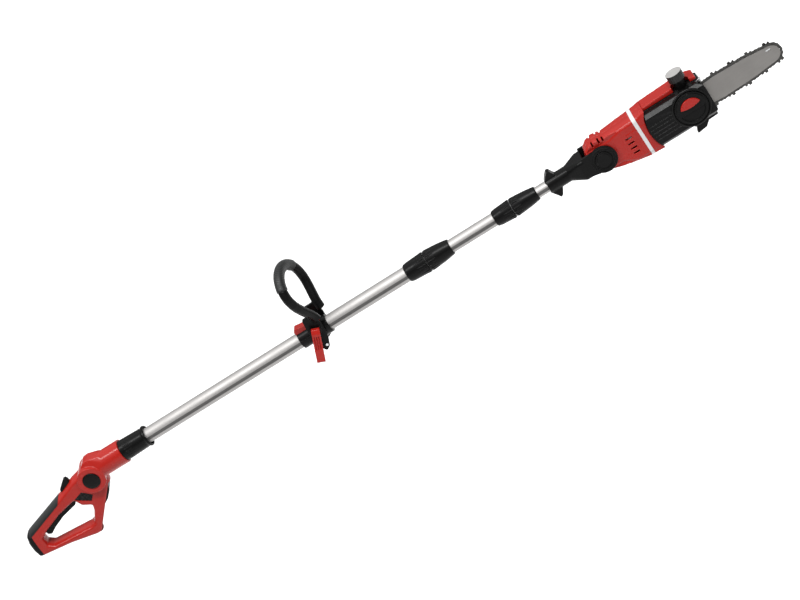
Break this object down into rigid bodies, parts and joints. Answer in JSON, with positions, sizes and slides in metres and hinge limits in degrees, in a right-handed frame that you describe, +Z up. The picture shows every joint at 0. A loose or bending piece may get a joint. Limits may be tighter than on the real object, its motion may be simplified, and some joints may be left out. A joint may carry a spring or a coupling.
{
  "type": "telescoping pole saw",
  "caption": "Cordless pole saw: D-shaped rear handle, telescoping aluminium tubes with twist locks, sliding front hand loop and a tilting chainsaw head.",
  "frame": {"origin": "on the pole's axis at the front end of the rear handle's collar, where the bare outer tube begins", "axes": "+X along the pole towards the saw, +Z up towards the front hand loop, -Y towards the guide bar's side"},
  "size_m": [1.8892, 0.1247, 0.2997],
  "materials": {
    "red_plastic": "satin",
    "black_plastic": "matte",
    "grey_nylon": "matte",
    "soft_rubber": "matte",
    "pole_aluminium": "satin",
    "steel": "satin",
    "silver_trim": "satin",
    "copper": "satin",
    "motor_steel": "satin",
    "circuit_board": "satin",
    "tank_plastic": "satin"
  },
  "bodies": {
    "pole": {"handle_shell_left": "red_plastic", "handle_shell_right": "red_plastic", "grip_pad": "soft_rubber", "handle_end_cap": "black_plastic", "handle_screws": "steel", "side_grilles": "black_plastic", "battery_shoe": "black_plastic", "battery_terminals": "copper", "switch_module": "circuit_board", "trigger_spring": "steel", "neck": "red_plastic", "boss_caps": "black_plastic", "boss_bolt": "steel", "pole_collar": "black_plastic", "outer_tube": "pole_aluminium", "lock1_sleeve": "black_plastic", "lock1_collet": "grey_nylon", "cable_coil": "soft_rubber"},
    "trigger": {"trigger": "black_plastic"},
    "lock_off_button": {"lock_off_button": "black_plastic"},
    "lock_nut_1": {"lock1_nut": "black_plastic"},
    "middle_stage": {"middle_tube": "pole_aluminium", "middle_guide": "grey_nylon", "lock2_sleeve": "black_plastic", "lock2_collet": "grey_nylon"},
    "lock_nut_2": {"lock2_nut": "black_plastic"},
    "inner_stage": {"inner_tube": "pole_aluminium", "inner_guide": "grey_nylon", "head_lead": "soft_rubber", "yoke": "black_plastic", "pivot_bolt": "steel"},
    "loop": {"loop_handle": "black_plastic", "loop_grip": "soft_rubber", "clamp_upper": "black_plastic", "clamp_lower": "black_plastic", "saddle_block": "red_plastic", "clamp_bolt": "steel"},
    "lever": {"lever": "red_plastic"},
    "tilt_button_left": {"tilt_button_left": "black_plastic"},
    "tilt_button_right": {"tilt_button_right": "black_plastic"},
    "head": {"motor_housing_left": "red_plastic", "motor_housing_right": "red_plastic", "housing_band": "silver_trim", "motor_stator": "motor_steel", "gear_case": "black_plastic", "bar_stud": "steel", "oil_tank": "tank_plastic", "chain_cover": "black_plastic", "branch_hook": "black_plastic", "bumper_spikes": "steel", "top_cover": "red_plastic", "guide_bar": "steel", "saw_chain": "steel"},
    "rotor": {"motor_rotor": "motor_steel"},
    "sprocket": {"crown_gear": "steel", "sprocket_shaft": "steel"},
    "nose_sprocket": {"nose_sprocket": "steel"},
    "oil_cap": {"oil_cap": "black_plastic"},
    "knob": {"cover_knob": "black_plastic", "knob_insert": "red_plastic"}
  },
  "joints": [
    {"name": "trigger_pull", "type": "hinge", "parent": "pole", "child": "trigger", "pos_m": [-0.218, 0, -0.031], "axis": [0, 1, 0], "range_deg": [0, 6], "stiffness_Nm_per_rad": 1.5, "springref_deg": -5.73, "deforming": ["trigger_spring"]},
    {"name": "lock_off_press", "type": "slide", "parent": "pole", "child": "lock_off_button", "axis": [0.3303, 0, -0.9439], "range_m": [0, 0.0035], "stiffness_N_per_m": 400, "springref_m": -0.002},
    {"name": "lock_nut_1_turn", "type": "hinge", "parent": "pole", "child": "lock_nut_1", "pos_m": [0.711, 0, 0], "axis": [1, 0, 0], "range_deg": [0, 90]},
    {"name": "middle_slide", "type": "slide", "parent": "pole", "child": "middle_stage", "axis": [1, 0, 0], "range_m": [-0.09, 0.4], "deforming": ["cable_coil"]},
    {"name": "lock_nut_2_turn", "type": "hinge", "parent": "middle_stage", "child": "lock_nut_2", "pos_m": [0.916, 0, 0], "axis": [1, 0, 0], "range_deg": [0, 90]},
    {"name": "inner_slide", "type": "slide", "parent": "middle_stage", "child": "inner_stage", "axis": [1, 0, 0], "range_m": [-0.018, 0.4]},
    {"name": "loop_slide", "type": "slide", "parent": "pole", "child": "loop", "axis": [1, 0, 0], "range_m": [-0.35, 0.18]},
    {"name": "lever_open", "type": "hinge", "parent": "loop", "child": "lever", "pos_m": [0.444, -0.035, 0.016], "axis": [-0.91, 0, 0.4147], "range_deg": [0, 100]},
    {"name": "head_tilt", "type": "hinge", "parent": "inner_stage", "child": "head", "pos_m": [1.121, 0, -0.003], "axis": [0, 1, 0], "range_deg": [0, 60]},
    {"name": "tilt_button_left_press", "type": "slide", "parent": "inner_stage", "child": "tilt_button_left", "axis": [0, 1, 0], "range_m": [0, 0.003], "stiffness_N_per_m": 400, "springref_m": -0.001},
    {"name": "tilt_button_right_press", "type": "slide", "parent": "inner_stage", "child": "tilt_button_right", "axis": [0, -1, 0], "range_m": [0, 0.003], "stiffness_N_per_m": 400, "springref_m": -0.001},
    {"name": "sprocket_spin", "type": "hinge", "parent": "head", "child": "sprocket", "pos_m": [1.2527, 0, -0.003], "axis": [0, 1, 0], "continuous": true},
    {"name": "rotor_spin", "type": "hinge", "parent": "head", "child": "rotor", "pos_m": [1.191, 0.005, -0.003], "axis": [1, 0, 0], "continuous": true},
    {"name": "nose_sprocket_spin", "type": "hinge", "parent": "head", "child": "nose_sprocket", "pos_m": [1.5, -0.02, -0.003], "axis": [0, 1, 0], "continuous": true},
    {"name": "oil_cap_turn", "type": "hinge", "parent": "head", "child": "oil_cap", "pos_m": [1.323, -0.006, 0.057], "axis": [0, 0, 1], "continuous": true},
    {"name": "knob_turn", "type": "hinge", "parent": "head", "child": "knob", "pos_m": [1.318, -0.04, -0.003], "axis": [0, 1, 0], "continuous": true}
  ],
  "couplings": [
    {"joint": "rotor_spin", "follows": "sprocket_spin", "ratio": -3.75},
    {"joint": "nose_sprocket_spin", "follows": "sprocket_spin", "ratio": 0.85714}
  ]
}
